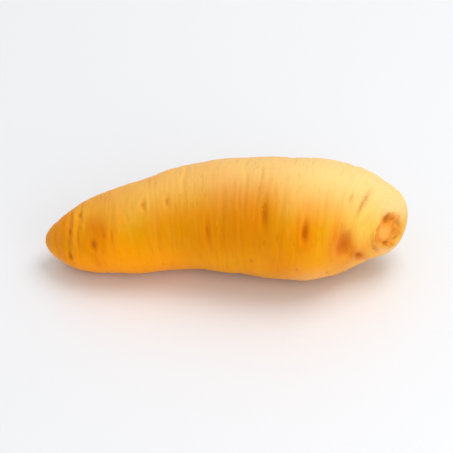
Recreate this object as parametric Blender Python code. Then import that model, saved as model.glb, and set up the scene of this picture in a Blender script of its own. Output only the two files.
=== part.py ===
"""An arracacha root, picked and lying on its side.

The storage root grew in one piece, so it is one solid: a tapering body from the blunt tail at -X to the
crown at +X, where it was broken off the rootstock. Round sections, each turned a little from the last, carry
the skin along the root and bend it round to the crown scar. Relief is then raised and sunk square to the
skin: slow swellings, ring creases, the slits and dimples where side roots grew, the fold round the neck and
the rough scar itself. The belly is pressed flat where the root rests.

Tables are in millimetres and degrees. The model is in metres, +Z up, with its origin under the middle of
the root. Places on the skin are given as the distance along it from the tail's tip, and an angle round the
root: 0 faces -Y, 90 faces up and 180 faces +Y.
"""

import math
from collections import namedtuple

import bpy
import numpy as np

MM = 0.001

# How finely the skin is cut, and how much closer the rings stand towards each tip
RINGS = 104
SIDES = 56
TAIL_CROWDING = 0.5
CROWN_CROWDING = 2.0
TAIL_REACH_MM = 12.0
CROWN_REACH_MM = 15.0

# Half the step over which the skin's slope is measured
STEP_MM = 0.01

# Round sections from the tail's tip to the middle of the crown scar: the middle of each, its radius, and
# where it faces, as a swing from +X towards -Y and a lift upwards
Section = namedtuple("Section", "x y z radius swing lift")
SECTIONS = (
    Section(-67.8, 0.0, 9.2, 0.0, 0, 16),
    Section(-67.3, -0.1, 9.1, 2.7, 0, 16),
    Section(-65.4, -0.5, 9.2, 5.5, 0, 16),
    Section(-62.0, -1.1, 9.7, 8.3, 0, 16),
    Section(-56.2, -1.4, 11.4, 11.5, 0, 15),
    Section(-45.6, -0.9, 14.7, 14.8, -1, 12),
    Section(-36.0, 0.0, 16.4, 16.6, -2, 9),
    Section(-22.4, 1.6, 18.4, 18.5, -1, 7),
    Section(-7.0, 1.9, 20.2, 20.3, 2, 6),
    Section(7.5, 0.1, 21.8, 22.0, 5, 3),
    Section(21.9, -1.6, 22.8, 22.9, 6, 0),
    Section(36.4, -2.0, 22.2, 22.2, 7, -3),
    Section(43.5, -1.6, 21.2, 20.7, 12, -3),
    Section(50.6, -1.4, 20.7, 17.9, 21, 0),
    Section(56.1, -2.5, 20.9, 14.9, 31, 4),
    Section(59.6, -4.7, 21.4, 11.6, 42, 7),
    Section(60.1, -7.4, 22.0, 7.7, 50, 10),
    Section(59.4, -9.2, 22.3, 3.9, 55, 12),
    Section(59.1, -9.9, 22.4, 0.0, 56, 13),
)

# The belly is pressed level this far up, which gives the flat that the root rests on
BELLY_FLAT_MM = 0.8

# Slow swellings all over: height, length of one wave along the skin and where in a wave the tail's tip is,
# number of waves round the root, and where one of them peaks
Swelling = namedtuple("Swelling", "height wave start turns facing")
SWELLINGS = (
    Swelling(0.45, 64.0, 150.0, 1, 300.0),
    Swelling(0.34, 43.0, 305.0, 2, 72.0),
    Swelling(0.22, 29.0, 185.0, 3, 88.0),
    Swelling(0.15, 17.0, 50.0, 2, 20.0),
)
SWELLING_FADE_MM = 16.0

# Creases that run round the root: where the middle of each is, how many degrees it reaches to each side, its
# depth, its half width, and how far it leans along the skin
Crease = namedtuple("Crease", "skin middle reach depth width lean")
CREASES = (
    Crease(17.0, 45.0, 62.0, 0.42, 0.9, 2.6),
    Crease(21.4, 58.0, 50.0, 0.38, 0.8, 2.2),
    Crease(10.5, 60.0, 80.0, 0.26, 0.9, 1.6),
    Crease(14.0, 225.0, 75.0, 0.36, 0.9, 1.0),
    Crease(33.5, 35.0, 42.0, 0.20, 0.9, 1.4),
    Crease(38.0, 215.0, 80.0, 0.40, 1.0, -1.2),
    Crease(50.0, 20.0, 38.0, 0.20, 0.9, -0.8),
    Crease(59.5, 190.0, 70.0, 0.36, 1.1, 0.9),
    Crease(62.0, 85.0, 36.0, 0.22, 0.9, 0.8),
    Crease(75.5, 30.0, 40.0, 0.24, 1.0, 0.7),
    Crease(79.0, 235.0, 85.0, 0.42, 1.1, 1.2),
    Crease(84.0, 60.0, 34.0, 0.22, 0.9, -0.6),
    Crease(97.5, 35.0, 46.0, 0.26, 1.0, 0.6),
    Crease(99.0, 165.0, 50.0, 0.34, 1.1, 0.8),
    Crease(112.5, 40.0, 36.0, 0.24, 0.9, -0.7),
    Crease(116.0, 225.0, 70.0, 0.42, 1.1, -1.0),
    Crease(126.0, 200.0, 56.0, 0.36, 1.1, 0.8),
)
SHOULDER_SHARE = 0.4
SHOULDER_AT = 2.0
SHOULDER_WIDTH = 1.2
CREASE_WANDER_MM = 0.3
CREASE_WANDERS = 5

# Slits and dimples where side roots grew, and small dents: where each is, its half length round the root, its
# half width along it, and its depth
Pit = namedtuple("Pit", "skin angle length width depth")
PITS = (
    Pit(15.4, 9.0, 1.8, 1.0, 0.50),
    Pit(22.2, 80.0, 1.4, 1.0, 0.45),
    Pit(26.0, 23.0, 1.9, 1.3, 0.70),
    Pit(28.0, 44.0, 6.5, 4.5, 0.50),
    Pit(46.0, 62.0, 1.8, 1.1, 0.45),
    Pit(55.0, 60.0, 2.4, 1.0, 0.45),
    Pit(69.6, 21.0, 5.0, 1.0, 0.50),
    Pit(86.3, 349.0, 1.5, 1.0, 0.40),
    Pit(91.5, 38.0, 5.2, 1.2, 0.55),
    Pit(90.4, 88.0, 0.9, 4.5, 0.25),
    Pit(105.8, 23.0, 3.4, 1.2, 0.90),
    Pit(105.8, 30.0, 6.5, 0.9, 0.25),
    Pit(104.0, 338.0, 1.5, 1.1, 0.45),
    Pit(116.4, 330.0, 1.6, 1.1, 0.45),
    Pit(118.0, 24.0, 3.4, 1.1, 0.35),
    Pit(121.7, 30.0, 3.6, 1.1, 0.40),
    Pit(125.4, 9.0, 4.6, 4.4, 1.30),
    Pit(123.7, 63.0, 2.6, 0.9, 0.35),
    Pit(133.0, 331.0, 3.0, 2.0, 0.75),
    Pit(30.0, 255.0, 1.9, 1.1, 0.50),
    Pit(47.0, 150.0, 3.0, 1.0, 0.55),
    Pit(66.0, 282.0, 2.2, 1.0, 0.45),
    Pit(70.0, 172.0, 4.0, 1.1, 0.65),
    Pit(88.0, 222.0, 2.8, 1.2, 0.75),
    Pit(93.0, 140.0, 3.6, 1.0, 0.55),
    Pit(108.0, 196.0, 3.0, 1.3, 0.85),
    Pit(112.0, 268.0, 2.2, 1.1, 0.50),
    Pit(120.0, 128.0, 3.0, 1.0, 0.50),
    Pit(128.0, 222.0, 2.6, 1.6, 0.80),
)
PIT_LIP_SHARE = 0.22
PIT_LIP_AT = 1.8
PIT_LIP_WIDTH = 0.6

# The folds round the neck run along one line: its distance from the middle of the crown scar along the skin,
# how far it leans, and how far it swerves towards the tail round the dimple at the front. Each fold has its
# middle, how many degrees it reaches to each side, its depth and its half width. A lip stands inside the line
NECK_MM = 19.7
NECK_LEAN_MM = 1.3
NECK_LEAN_AT = 66.0
NECK_SWERVE_MM = 3.4
NECK_SWERVE_AT = 18.0
NECK_SWERVE_REACH = 30.0
Fold = namedtuple("Fold", "middle reach depth width")
NECK_FOLDS = (
    Fold(62.0, 20.0, 0.26, 1.00),
    Fold(34.0, 20.0, 0.14, 1.10),
    Fold(340.0, 25.0, 0.65, 1.60),
    Fold(290.0, 30.0, 0.40, 1.10),
    Fold(200.0, 55.0, 0.26, 1.10),
    Fold(125.0, 26.0, 0.14, 1.00),
)
NECK_LIP_MM = 0.26
NECK_LIP_BEHIND = 0.3
NECK_LIP_HIGHEST = 345.0
NECK_LIP_INSIDE_MM = 4.0
NECK_LIP_WIDTH_MM = 3.2

# The crown scar: a rim uneven in its reach and its height, a moat with the holes of torn vessels, and a plug
# in the middle. Each wave round the rim has its number of turns, its share and where it peaks. Each hole has
# its half width and its half height
SCAR_RIM_MM = 7.4
SCAR_RIM_HEIGHT_MM = 0.35
SCAR_RIM_WIDTH_MM = 1.2
Wave = namedtuple("Wave", "turns share peak")
SCAR_RIM_WAVES = (Wave(1, 0.16, 330.0), Wave(3, 0.06, 100.0), Wave(5, 0.03, 0.0))
SCAR_HEIGHT_WAVES = (Wave(3, 0.3, 15.0), Wave(7, 0.2, 356.0))
SCAR_MOAT_SHARE = 0.68
SCAR_MOAT_DEPTH_MM = 0.5
SCAR_MOAT_WIDTH_MM = 1.4
SCAR_PLUG_DEPTH_MM = 0.25
Hole = namedtuple("Hole", "angle out wide tall depth")
SCAR_HOLES = (
    Hole(87.0, 5.3, 1.6, 2.0, 0.80),
    Hole(120.0, 4.3, 1.0, 0.8, 0.30),
    Hole(162.0, 5.2, 0.8, 2.0, 0.45),
    Hole(240.0, 6.5, 1.3, 1.2, 0.50),
    Hole(292.0, 5.5, 1.4, 1.1, 0.60),
    Hole(337.0, 8.7, 1.3, 1.5, 0.55),
    Hole(21.0, 6.9, 0.8, 1.1, 0.35),
    Hole(320.0, 12.4, 1.0, 0.8, 0.25),
    Hole(205.0, 8.4, 0.9, 1.2, 0.30),
)
SCAR_FACES_SHARE = 0.95

SKIN_COLOUR = (0.86, 0.47, 0.10, 1.0)
SCAR_COLOUR = (0.52, 0.22, 0.05, 1.0)


def bump(distance, width):
    return np.exp(-((distance / width) ** 2))


def turn_from(around, degrees):
    """How far round from a direction, in radians, at most half a turn either way."""
    return (around - math.radians(degrees) + math.pi) % (2 * math.pi) - math.pi


def natural_spline(knots, values, places):
    """The cubic spline through the rows of values at the knots, unbent at its ends, at the places."""
    step = np.diff(knots)
    rise = np.diff(values, axis=0) / step[:, None]
    system = np.eye(len(knots))
    wanted = np.zeros_like(values)
    for i in range(1, len(knots) - 1):
        system[i, i - 1 : i + 2] = step[i - 1], 2 * (step[i - 1] + step[i]), step[i]
        wanted[i] = 6 * (rise[i] - rise[i - 1])
    bend = np.linalg.solve(system, wanted)
    left = np.clip(np.searchsorted(knots, places) - 1, 0, len(step) - 1)
    h = step[left][:, None]
    b = (places - knots[left])[:, None] / h
    a = 1 - b
    value = a * values[left] + b * values[left + 1]
    value += ((a**3 - a) * bend[left] + (b**3 - b) * bend[left + 1]) * h**2 / 6
    return value


def skin_knots():
    """The sections as rows, and how far along the skin each one is."""
    rows = np.array(SECTIONS)
    steps = np.linalg.norm(np.diff(rows[:, :4], axis=0), axis=1)
    return rows, np.concatenate([[0.0], np.cumsum(steps)])


def ring_places(length, rings):
    """How far along the skin each ring and tip stands. The rings are closer together near the tips."""
    fine = np.linspace(0.0, length, 2000)
    crowding = 1 + TAIL_CROWDING * bump(fine, TAIL_REACH_MM)
    crowding += CROWN_CROWDING * bump(length - fine, CROWN_REACH_MM)
    count = np.concatenate([[0.0], np.cumsum((crowding[1:] + crowding[:-1]) / 2)])
    return np.interp(np.linspace(0.0, count[-1], rings + 2), count, fine)


def bare_skin(skin, around):
    """A grid of points on the skin without its relief, and which way is round the root at each."""
    rows, knots = skin_knots()
    # Sections mirrored beyond each tip, with the radius below zero, close the skin squarely there
    flip = np.array([1, 1, 1, -1, 1, 1])
    rows = np.concatenate([rows[2:0:-1] * flip, rows, rows[-2:-4:-1] * flip])
    knots = np.concatenate([-knots[2:0:-1], knots, 2 * knots[-1] - knots[-2:-4:-1]])
    x, y, z, radius, swing, lift = natural_spline(knots, rows, skin).T
    swing = np.radians(swing)
    lift = np.radians(lift)
    front = np.stack([-np.sin(swing), -np.cos(swing), 0 * swing], 1)[:, None]
    up = np.stack([-np.sin(lift) * np.cos(swing), np.sin(lift) * np.sin(swing), np.cos(lift)], 1)[:, None]
    turn = around[None, :, None]
    out = np.cos(turn) * front + np.sin(turn) * up
    sideways = np.cos(turn) * up - np.sin(turn) * front
    return np.stack([x, y, z], 1)[:, None] + radius[:, None, None] * out, sideways


def swellings(skin, around, length):
    """Slow swellings, which die away towards both tips."""
    fade = np.clip(np.minimum(skin, length - skin) / SWELLING_FADE_MM, 0, 1)
    total = np.zeros_like(skin)
    for s in SWELLINGS:
        wave = 2 * math.pi * skin / s.wave + math.radians(s.start)
        total += s.height * np.cos(wave) * np.cos(s.turns * turn_from(around, s.facing))
    return total * fade * fade * (3 - 2 * fade)


def creases(skin, around):
    """Ring creases with a soft shoulder on each side, fading out towards their ends."""
    total = np.zeros_like(skin)
    for c in CREASES:
        turn = turn_from(around, c.middle)
        fade = np.exp(-((turn / math.radians(c.reach)) ** 4))
        middle = c.skin + c.lean * np.sin(turn) + CREASE_WANDER_MM * np.sin(CREASE_WANDERS * turn)
        off = (skin - middle) / c.width
        shoulders = bump(off - SHOULDER_AT, SHOULDER_WIDTH) + bump(off + SHOULDER_AT, SHOULDER_WIDTH)
        total += c.depth * fade * (SHOULDER_SHARE * shoulders - bump(off, 1.0))
    return total


def pits(skin, around, girth):
    """Slits, dimples and dents, each with a faint lip."""
    total = np.zeros_like(skin)
    for p in PITS:
        off = np.hypot((skin - p.skin) / p.width, turn_from(around, p.angle) * girth / p.length)
        total += p.depth * (PIT_LIP_SHARE * bump(off - PIT_LIP_AT, PIT_LIP_WIDTH) - bump(off, 1.0))
    return total


def neck(inward, around):
    """The folds round the neck, and the lip between them and the scar."""
    swerve = NECK_SWERVE_MM * bump(turn_from(around, NECK_SWERVE_AT), math.radians(NECK_SWERVE_REACH))
    lean = NECK_LEAN_MM * np.cos(turn_from(around, NECK_LEAN_AT))
    off = inward - NECK_MM - swerve - lean
    front = 0.5 + 0.5 * np.cos(turn_from(around, NECK_LIP_HIGHEST))
    strength = NECK_LIP_BEHIND + (1 - NECK_LIP_BEHIND) * front**1.5
    total = NECK_LIP_MM * strength * bump(off + NECK_LIP_INSIDE_MM, NECK_LIP_WIDTH_MM)
    for f in NECK_FOLDS:
        total -= f.depth * bump(turn_from(around, f.middle), math.radians(f.reach)) * bump(off, f.width)
    return total


def unevenness(around, waves):
    """A share near 1, which the waves raise and lower round the root."""
    return 1 + sum(w.share * np.cos(w.turns * turn_from(around, w.peak)) for w in waves)


def scar_rim_at(around):
    """How far the scar's rim is from its middle."""
    return SCAR_RIM_MM * unevenness(around, SCAR_RIM_WAVES)


def crown_scar(inward, around):
    """The torn face of the crown."""
    rim_at = scar_rim_at(around)
    rim_height = SCAR_RIM_HEIGHT_MM * unevenness(around, SCAR_HEIGHT_WAVES)
    total = rim_height * bump(inward - rim_at, SCAR_RIM_WIDTH_MM)
    total -= SCAR_MOAT_DEPTH_MM * bump(inward - rim_at * SCAR_MOAT_SHARE, SCAR_MOAT_WIDTH_MM)
    total -= SCAR_PLUG_DEPTH_MM * bump(inward, SCAR_RIM_MM * 0.5)
    for h in SCAR_HOLES:
        angle = math.radians(h.angle)
        right = inward * np.cos(around) - h.out * math.cos(angle)
        above = inward * np.sin(around) - h.out * math.sin(angle)
        total -= h.depth * bump(np.hypot(right / h.wide, above / h.tall), 1.0)
    return total


def skin_points(rings, sides):
    """The skin as rings of points in millimetres. The end rings are the two tips."""
    rows, knots = skin_knots()
    length = knots[-1]
    places = ring_places(length, rings)
    angles = np.arange(sides) * 2 * math.pi / sides
    points, sideways = bare_skin(places, angles)
    along = bare_skin(places + STEP_MM, angles)[0] - bare_skin(places - STEP_MM, angles)[0]
    normal = np.cross(along, sideways)
    normal /= np.linalg.norm(normal, axis=2)[..., None]
    girth = natural_spline(knots, rows[:, 3:4], places)
    skin, around = np.meshgrid(places, angles, indexing="ij")
    inward = length - skin
    height = swellings(skin, around, length) + creases(skin, around) + pits(skin, around, girth)
    height += neck(inward, around) + crown_scar(inward, around)
    points += height[..., None] * normal
    points[[0, -1]] = points[[0, -1]].mean(1)[:, None]
    return points


def seated(points):
    """The points set down so that the lowest ones, pressed level, make the flat belly at z = 0."""
    points = points - [0.0, 0.0, points[..., 2].min() + BELLY_FLAT_MM]
    points[..., 2] = np.maximum(points[..., 2], 0.0)
    return points


def root_faces():
    """Faces that join the rings, with a fan at each tip, and whether each one is in the scar."""
    length = skin_knots()[1][-1]
    places = ring_places(length, RINGS)
    tail = RINGS * SIDES
    faces = []
    in_scar = []
    for side in range(SIDES):
        after = (side + 1) % SIDES
        rim = scar_rim_at(math.radians(360 * side / SIDES)) * SCAR_FACES_SHARE
        faces.append((tail, side, after))
        for ring in range(RINGS - 1):
            here = ring * SIDES
            there = here + SIDES
            faces.append((here + side, there + side, there + after, here + after))
        last = (RINGS - 1) * SIDES
        faces.append((last + side, tail + 1, last + after))
        in_scar += [int(length - place < rim) for place in places[:-1]]
    return faces, in_scar


def root_mesh(name):
    """The root as one closed mesh, over its origin."""
    grid = skin_points(RINGS, SIDES)
    points = seated(np.concatenate([grid[1:-1].reshape(-1, 3), grid[[0, -1], 0]]))
    low = points.min(0)
    high = points.max(0)
    points -= [(low[0] + high[0]) / 2, (low[1] + high[1]) / 2, 0.0]
    faces, in_scar = root_faces()
    mesh = bpy.data.meshes.new(name)
    mesh.from_pydata((points * MM).tolist(), [], faces)
    mesh.polygons.foreach_set("material_index", in_scar)
    mesh.shade_smooth()
    return mesh


def plain_material(name, colour, roughness):
    material = bpy.data.materials.new(name)
    material.use_nodes = True
    shader = material.node_tree.nodes["Principled BSDF"]
    shader.inputs["Base Color"].default_value = colour
    shader.inputs["Roughness"].default_value = roughness
    shader.inputs["Metallic"].default_value = 0.0
    return material


def build_root():
    root = bpy.data.objects.new("arracacha_root", root_mesh("arracacha_root"))
    bpy.context.scene.collection.objects.link(root)
    root.data.materials.append(plain_material("skin", SKIN_COLOUR, 0.5))
    root.data.materials.append(plain_material("crown_scar", SCAR_COLOUR, 0.8))


def clear_scene():
    for old in list(bpy.data.objects):
        bpy.data.objects.remove(old)


def main():
    clear_scene()
    build_root()


if __name__ == "__main__":
    main()
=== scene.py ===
"""The looks of an arracacha root: its skin and crown scar, a pale floor for it to lie on and soft light.

The skin is one fine surface that stands for the solid root and keeps its form: the sections, swellings,
creases, pits, neck folds and scar are the solid's. Fine relief is added square to it: wrinkles and lumps all
over, ring creases, slits, dots and dents strewn between the named ones, the torn flesh of the scar and a
Each point of the skin also carries how hollow, stained and torn it is there, and how strong each of its other
colours is. The material lays those colours over one another. Some of them are painted light and shade: the
hollows are darkened as painted shade, a few patches and lines are painted shade, and painted bounce light, a
painted highlight and a painted reflection of the floor lie on the skin.

Tables are in millimetres and degrees. Places on the skin are given as the distance along it from the tail's
tip, and an angle round the root: 0 faces -Y, 90 faces up and 180 faces +Y. Inward is the distance along the
skin from the middle of the crown scar.
"""

import math
from collections import namedtuple

import bpy
import numpy as np
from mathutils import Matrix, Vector


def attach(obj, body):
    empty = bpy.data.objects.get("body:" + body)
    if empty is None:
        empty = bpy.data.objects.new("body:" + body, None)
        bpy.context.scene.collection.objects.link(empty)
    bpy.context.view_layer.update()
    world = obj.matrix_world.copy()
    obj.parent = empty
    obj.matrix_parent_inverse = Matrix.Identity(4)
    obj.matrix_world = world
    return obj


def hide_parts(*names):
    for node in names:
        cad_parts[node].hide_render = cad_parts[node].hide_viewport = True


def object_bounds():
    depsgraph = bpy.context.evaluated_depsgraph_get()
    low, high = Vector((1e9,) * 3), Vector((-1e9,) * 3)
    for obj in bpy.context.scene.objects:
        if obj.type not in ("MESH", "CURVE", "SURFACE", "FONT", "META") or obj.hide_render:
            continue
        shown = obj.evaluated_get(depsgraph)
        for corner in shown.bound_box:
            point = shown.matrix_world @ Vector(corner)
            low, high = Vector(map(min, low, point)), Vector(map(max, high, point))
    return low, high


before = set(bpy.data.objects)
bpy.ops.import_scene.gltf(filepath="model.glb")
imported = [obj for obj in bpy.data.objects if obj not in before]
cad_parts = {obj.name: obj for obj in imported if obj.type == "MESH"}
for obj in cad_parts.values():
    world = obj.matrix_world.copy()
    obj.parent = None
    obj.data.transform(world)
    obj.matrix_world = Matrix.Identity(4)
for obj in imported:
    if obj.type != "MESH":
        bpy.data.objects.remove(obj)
cad_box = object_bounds()

NODE = "arracacha_root"
MM = 0.001

# How finely the skin is cut, and how much closer the rings stand towards each tip
RINGS = 524
SIDES = 186
CROWDING_SAMPLES = 2000
TAIL_CROWDING = 0.5
CROWN_CROWDING = 1.6
TAIL_REACH_MM = 12.0
CROWN_REACH_MM = 15.0

# Half the step over which the skin's slope is measured
STEP_MM = 0.01

# The form, as in the solid

# Round sections from the tail's tip to the middle of the crown scar: the middle of each, its radius, and
# where it faces, as a swing from +X towards -Y and a lift upwards
Section = namedtuple("Section", "x y z radius swing lift")
SECTIONS = (
    Section(-67.8, 0.0, 9.2, 0.0, 0, 16),
    Section(-67.3, -0.1, 9.1, 2.7, 0, 16),
    Section(-65.4, -0.5, 9.2, 5.5, 0, 16),
    Section(-62.0, -1.1, 9.7, 8.3, 0, 16),
    Section(-56.2, -1.4, 11.4, 11.5, 0, 15),
    Section(-45.6, -0.9, 14.7, 14.8, -1, 12),
    Section(-36.0, 0.0, 16.4, 16.6, -2, 9),
    Section(-22.4, 1.6, 18.4, 18.5, -1, 7),
    Section(-7.0, 1.9, 20.2, 20.3, 2, 6),
    Section(7.5, 0.1, 21.8, 22.0, 5, 3),
    Section(21.9, -1.6, 22.8, 22.9, 6, 0),
    Section(36.4, -2.0, 22.2, 22.2, 7, -3),
    Section(43.5, -1.6, 21.2, 20.7, 12, -3),
    Section(50.6, -1.4, 20.7, 17.9, 21, 0),
    Section(56.1, -2.5, 20.9, 14.9, 31, 4),
    Section(59.6, -4.7, 21.4, 11.6, 42, 7),
    Section(60.1, -7.4, 22.0, 7.7, 50, 10),
    Section(59.4, -9.2, 22.3, 3.9, 55, 12),
    Section(59.1, -9.9, 22.4, 0.0, 56, 13),
)

# The belly is pressed level this far up, which gives the flat that the root rests on
BELLY_FLAT_MM = 0.8

# Slow swellings all over: height, length of one wave along the skin and where in a wave the tail's tip is,
# number of waves round the root, and where one of them peaks
Swelling = namedtuple("Swelling", "height wave start turns facing")
SWELLINGS = (
    Swelling(0.45, 64.0, 150.0, 1, 300.0),
    Swelling(0.34, 43.0, 305.0, 2, 72.0),
    Swelling(0.22, 29.0, 185.0, 3, 88.0),
    Swelling(0.15, 17.0, 50.0, 2, 20.0),
)
SWELLING_FADE_MM = 16.0

# Creases that run round the root: where the middle of each is, how many degrees it reaches to each side, its
# depth, its half width, and how far it leans along the skin
Crease = namedtuple("Crease", "skin middle reach depth width lean")
CREASES = (
    Crease(17.0, 45.0, 62.0, 0.42, 0.9, 2.6),
    Crease(21.4, 58.0, 50.0, 0.38, 0.8, 2.2),
    Crease(10.5, 60.0, 80.0, 0.26, 0.9, 1.6),
    Crease(14.0, 225.0, 75.0, 0.36, 0.9, 1.0),
    Crease(33.5, 35.0, 42.0, 0.20, 0.9, 1.4),
    Crease(38.0, 215.0, 80.0, 0.40, 1.0, -1.2),
    Crease(50.0, 20.0, 38.0, 0.20, 0.9, -0.8),
    Crease(59.5, 190.0, 70.0, 0.36, 1.1, 0.9),
    Crease(62.0, 85.0, 36.0, 0.22, 0.9, 0.8),
    Crease(75.5, 30.0, 40.0, 0.24, 1.0, 0.7),
    Crease(79.0, 235.0, 85.0, 0.42, 1.1, 1.2),
    Crease(84.0, 60.0, 34.0, 0.22, 0.9, -0.6),
    Crease(97.5, 35.0, 46.0, 0.26, 1.0, 0.6),
    Crease(99.0, 165.0, 50.0, 0.34, 1.1, 0.8),
    Crease(112.5, 40.0, 36.0, 0.24, 0.9, -0.7),
    Crease(116.0, 225.0, 70.0, 0.42, 1.1, -1.0),
    Crease(126.0, 200.0, 56.0, 0.36, 1.1, 0.8),
)
SHOULDER_SHARE = 0.4
SHOULDER_AT = 2.0
SHOULDER_WIDTH = 1.2
CREASE_WANDER_MM = 0.3
CREASE_WANDERS = 5

# Slits and dimples where side roots grew, and small dents: where each is, its half length round the root, its
# half width along it, and its depth
Pit = namedtuple("Pit", "skin angle length width depth")
PITS = (
    Pit(15.4, 9.0, 1.8, 1.0, 0.50),
    Pit(22.2, 80.0, 1.4, 1.0, 0.45),
    Pit(26.0, 23.0, 1.9, 1.3, 0.70),
    Pit(28.0, 44.0, 6.5, 4.5, 0.50),
    Pit(46.0, 62.0, 1.8, 1.1, 0.45),
    Pit(55.0, 60.0, 2.4, 1.0, 0.45),
    Pit(69.6, 21.0, 5.0, 1.0, 0.50),
    Pit(86.3, 349.0, 1.5, 1.0, 0.40),
    Pit(91.5, 38.0, 5.2, 1.2, 0.55),
    Pit(90.4, 88.0, 0.9, 4.5, 0.25),
    Pit(105.8, 23.0, 3.4, 1.2, 0.90),
    Pit(105.8, 30.0, 6.5, 0.9, 0.25),
    Pit(104.0, 338.0, 1.5, 1.1, 0.45),
    Pit(116.4, 330.0, 1.6, 1.1, 0.45),
    Pit(118.0, 24.0, 3.4, 1.1, 0.35),
    Pit(121.7, 30.0, 3.6, 1.1, 0.40),
    Pit(125.4, 9.0, 4.6, 4.4, 1.30),
    Pit(123.7, 63.0, 2.6, 0.9, 0.35),
    Pit(133.0, 331.0, 3.0, 2.0, 0.75),
    Pit(30.0, 255.0, 1.9, 1.1, 0.50),
    Pit(47.0, 150.0, 3.0, 1.0, 0.55),
    Pit(66.0, 282.0, 2.2, 1.0, 0.45),
    Pit(70.0, 172.0, 4.0, 1.1, 0.65),
    Pit(88.0, 222.0, 2.8, 1.2, 0.75),
    Pit(93.0, 140.0, 3.6, 1.0, 0.55),
    Pit(108.0, 196.0, 3.0, 1.3, 0.85),
    Pit(112.0, 268.0, 2.2, 1.1, 0.50),
    Pit(120.0, 128.0, 3.0, 1.0, 0.50),
    Pit(128.0, 222.0, 2.6, 1.6, 0.80),
)
PIT_LIP_SHARE = 0.22
PIT_LIP_AT = 1.8
PIT_LIP_WIDTH = 0.6

# The folds round the neck run along one line: its distance from the middle of the crown scar along the skin,
# how far it leans, and how far it swerves towards the tail round the dimple at the front. Each fold has its
# middle, how many degrees it reaches to each side, its depth and its half width. A lip stands inside the line
NECK_MM = 19.7
NECK_LEAN_MM = 1.3
NECK_LEAN_AT = 66.0
NECK_SWERVE_MM = 3.4
NECK_SWERVE_AT = 18.0
NECK_SWERVE_REACH = 30.0
Fold = namedtuple("Fold", "middle reach depth width")
NECK_FOLDS = (
    Fold(62.0, 20.0, 0.26, 1.00),
    Fold(34.0, 20.0, 0.14, 1.10),
    Fold(340.0, 25.0, 0.65, 1.60),
    Fold(290.0, 30.0, 0.40, 1.10),
    Fold(200.0, 55.0, 0.26, 1.10),
    Fold(125.0, 26.0, 0.14, 1.00),
)
NECK_LIP_MM = 0.26
NECK_LIP_BEHIND = 0.3
NECK_LIP_HIGHEST = 345.0
NECK_LIP_FALL = 1.5
NECK_LIP_INSIDE_MM = 4.0
NECK_LIP_WIDTH_MM = 3.2

# The crown scar: a rim uneven in its reach and its height, a moat with the holes of torn vessels, and a plug
# in the middle. Each wave round the rim has its number of turns, its share and where it peaks. Each hole has
# its direction and distance from the scar's middle, its half width, its half height and its depth
SCAR_RIM_MM = 7.4
SCAR_RIM_HEIGHT_MM = 0.35
SCAR_RIM_WIDTH_MM = 1.2
Wave = namedtuple("Wave", "turns share peak")
SCAR_RIM_WAVES = (Wave(1, 0.16, 330.0), Wave(3, 0.06, 100.0), Wave(5, 0.03, 0.0))
SCAR_HEIGHT_WAVES = (Wave(3, 0.3, 15.0), Wave(7, 0.2, 356.0))
SCAR_MOAT_SHARE = 0.68
SCAR_MOAT_DEPTH_MM = 0.5
SCAR_MOAT_WIDTH_MM = 1.4
SCAR_PLUG_SHARE = 0.5
SCAR_PLUG_DEPTH_MM = 0.25
Hole = namedtuple("Hole", "angle out wide tall depth")
SCAR_HOLES = (
    Hole(87.0, 5.3, 1.6, 2.0, 0.80),
    Hole(120.0, 4.3, 1.0, 0.8, 0.30),
    Hole(162.0, 5.2, 0.8, 2.0, 0.45),
    Hole(240.0, 6.5, 1.3, 1.2, 0.50),
    Hole(292.0, 5.5, 1.4, 1.1, 0.60),
    Hole(337.0, 8.7, 1.3, 1.5, 0.55),
    Hole(21.0, 6.9, 0.8, 1.1, 0.35),
    Hole(320.0, 12.4, 1.0, 0.8, 0.25),
    Hole(205.0, 8.4, 0.9, 1.2, 0.30),
)


def bump(distance, width):
    return np.exp(-((distance / width) ** 2))


def turn_from(around, degrees):
    """How far round from a direction, in radians, at most half a turn either way."""
    return (around - math.radians(degrees) + math.pi) % (2 * math.pi) - math.pi


def bump_round(around, degrees, reach):
    """A bump at a direction round the root, which reaches so many degrees to each side."""
    return bump(turn_from(around, degrees), math.radians(reach))


def smooth(share):
    """A share from 0 to 1 that leaves 0 and comes to 1 gently."""
    return share * share * (3 - 2 * share)


def natural_spline(knots, values, places):
    """The cubic spline through the rows of values at the knots, unbent at its ends, at the places."""
    step = np.diff(knots)
    rise = np.diff(values, axis=0) / step[:, None]
    system = np.eye(len(knots))
    wanted = np.zeros_like(values)
    for i in range(1, len(knots) - 1):
        system[i, i - 1 : i + 2] = step[i - 1], 2 * (step[i - 1] + step[i]), step[i]
        wanted[i] = 6 * (rise[i] - rise[i - 1])
    bend = np.linalg.solve(system, wanted)
    left = np.clip(np.searchsorted(knots, places) - 1, 0, len(step) - 1)
    h = step[left][:, None]
    b = (places - knots[left])[:, None] / h
    a = 1 - b
    value = a * values[left] + b * values[left + 1]
    value += ((a**3 - a) * bend[left] + (b**3 - b) * bend[left + 1]) * h**2 / 6
    return value


def skin_knots():
    """The sections as rows, and how far along the skin each one is."""
    rows = np.array(SECTIONS)
    steps = np.linalg.norm(np.diff(rows[:, :4], axis=0), axis=1)
    return rows, np.concatenate([[0.0], np.cumsum(steps)])


def ring_places(length, rings):
    """How far along the skin each ring and tip stands. The rings are closer together near the tips."""
    samples = np.linspace(0.0, length, CROWDING_SAMPLES)
    crowding = 1 + TAIL_CROWDING * bump(samples, TAIL_REACH_MM)
    crowding += CROWN_CROWDING * bump(length - samples, CROWN_REACH_MM)
    count = np.concatenate([[0.0], np.cumsum((crowding[1:] + crowding[:-1]) / 2)])
    return np.interp(np.linspace(0.0, count[-1], rings + 2), count, samples)


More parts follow.
